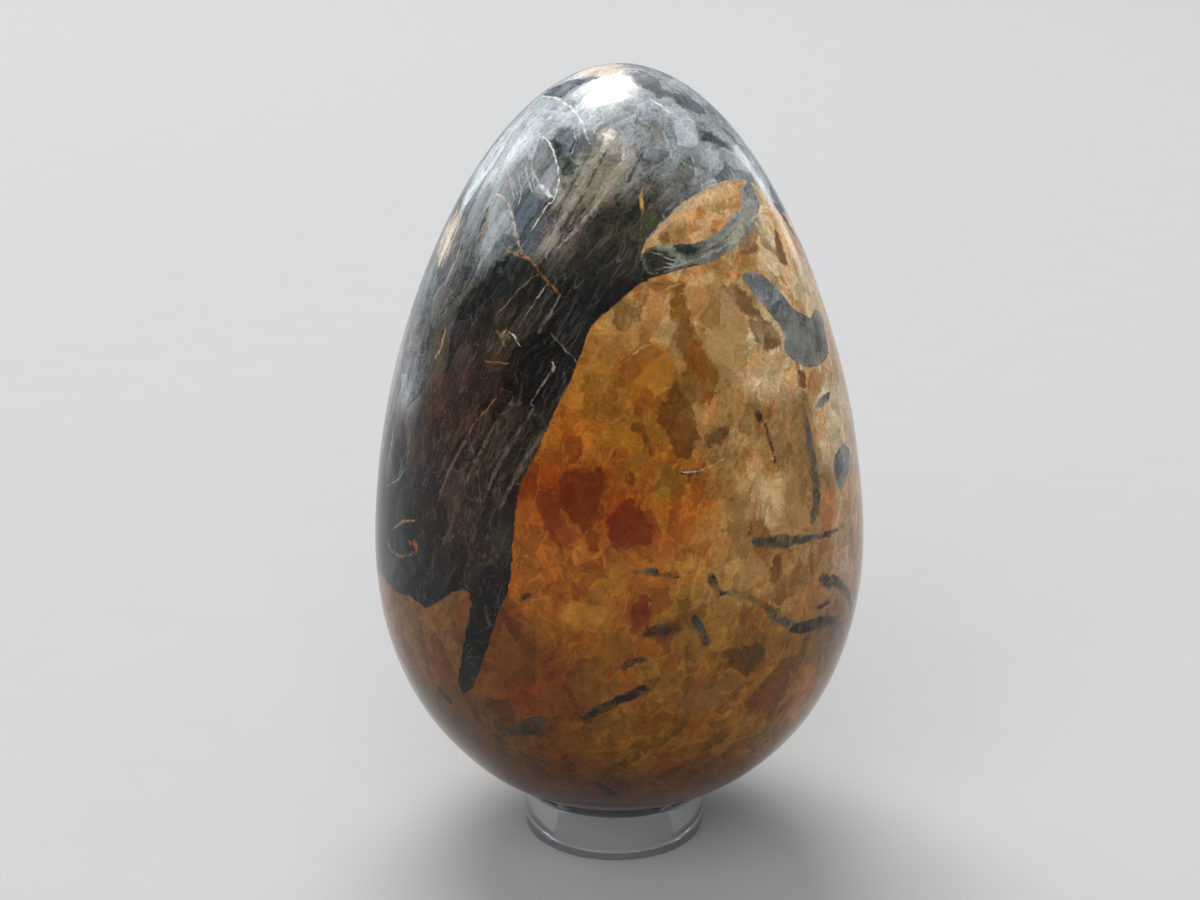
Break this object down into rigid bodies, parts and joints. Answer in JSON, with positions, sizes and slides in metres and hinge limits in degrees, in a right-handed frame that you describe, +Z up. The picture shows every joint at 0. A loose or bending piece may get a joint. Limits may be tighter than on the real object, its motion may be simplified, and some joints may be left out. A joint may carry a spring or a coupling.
{
  "type": "decorative stone egg on ring stand",
  "caption": "Polished stone egg standing point up in a low ring of clear acrylic tube.",
  "frame": {"origin": "middle of the ring's foot, on the surface that the object stands on", "axes": "+Z up, through the middle of the ring and the point of the egg; +Y away from the viewer of the picture, +X to the viewer's right"},
  "size_m": [0.0508, 0.0508, 0.0809],
  "materials": {
    "clear_acrylic": "clear, polished",
    "polished_stone": "polished"
  },
  "bodies": {
    "ring": {"ring_stand": "clear_acrylic"},
    "egg": {"stone_egg": "polished_stone"}
  },
  "joints": [
    {"name": "egg_lift", "type": "slide", "parent": "ring", "child": "egg", "axis": [0, 0, 1], "range_m": [0, 0.04]}
  ]
}
